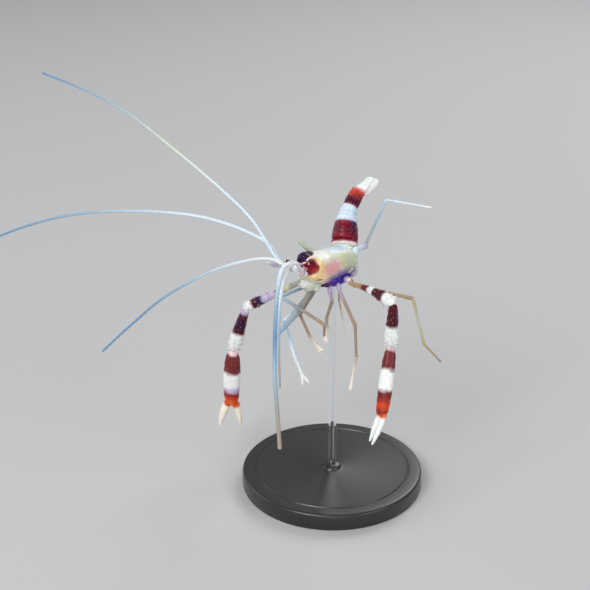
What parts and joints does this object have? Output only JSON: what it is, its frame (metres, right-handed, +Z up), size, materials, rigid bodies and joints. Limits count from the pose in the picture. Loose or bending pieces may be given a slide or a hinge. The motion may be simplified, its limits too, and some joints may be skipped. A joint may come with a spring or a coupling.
{
  "type": "banded coral shrimp",
  "caption": "Life-size banded coral shrimp, a cleaner shrimp, hovering with claws hanging, tail raised and long white feelers spread, held up on a clear rod and round base.",
  "frame": {"origin": "centre of the stand's underside", "axes": "+Z up, -Y the way the shrimp faces, +X to the shrimp's left"},
  "size_m": [0.1302, 0.0996, 0.1156],
  "materials": {
    "white_shell": "satin shell",
    "clear_shell": "satin, slightly clear shell",
    "red_shell": "satin shell",
    "tail_shell": "satin shell",
    "violet_skin": "soft skin",
    "pale_leg": "satin",
    "tan_leg": "satin",
    "feeler_white": "soft sheen",
    "eye_dark": "gloss",
    "base_black": "satin black",
    "rod_clear": "clear"
  },
  "bodies": {
    "root": {"abdomen_1": "white_shell", "abdomen_2": "white_shell", "abdomen_3": "red_shell", "abdomen_4": "white_shell", "abdomen_5": "white_shell", "abdomen_6": "red_shell", "antenna_left": "white_shell", "antenna_left_scale": "tail_shell", "antenna_left_whip_far": "feeler_white", "antenna_left_whip_near": "feeler_white", "antenna_right": "white_shell", "antenna_right_scale": "tail_shell", "antenna_right_whip_far": "feeler_white", "antenna_right_whip_near": "feeler_white", "antennule_left": "white_shell", "antennule_left_lower_whip": "feeler_white", "antennule_left_upper_whip": "feeler_white", "antennule_right": "white_shell", "antennule_right_lower_whip": "feeler_white", "antennule_right_upper_whip": "feeler_white", "carapace": "clear_shell", "claw_left_arm": "red_shell", "claw_left_finger": "white_shell", "claw_left_hand": "white_shell", "claw_left_wrist": "red_shell", "claw_right_arm": "red_shell", "claw_right_finger": "white_shell", "claw_right_hand": "white_shell", "claw_right_wrist": "red_shell", "eye_left": "eye_dark", "eye_right": "eye_dark", "leg1_left_lower": "pale_leg", "leg1_left_upper": "pale_leg", "leg1_right_lower": "tan_leg", "leg1_right_upper": "tan_leg", "leg2_left_lower": "pale_leg", "leg2_left_upper": "pale_leg", "leg2_right_lower": "tan_leg", "leg2_right_upper": "tan_leg", "leg4_left_lower": "pale_leg", "leg4_left_upper": "pale_leg", "leg4_right_lower": "tan_leg", "leg4_right_upper": "tan_leg", "leg5_left_lower": "pale_leg", "leg5_left_upper": "pale_leg", "leg5_right_lower": "tan_leg", "leg5_right_upper": "tan_leg", "maxilliped_left": "pale_leg", "maxilliped_right": "tan_leg", "mouthparts": "white_shell", "stand_base": "base_black", "stand_rod": "rod_clear", "telson": "tail_shell", "thorax": "violet_skin", "uropod_left_inner": "tail_shell", "uropod_left_outer": "tail_shell", "uropod_right_inner": "tail_shell", "uropod_right_outer": "tail_shell"}
  },
  "joints": []
}
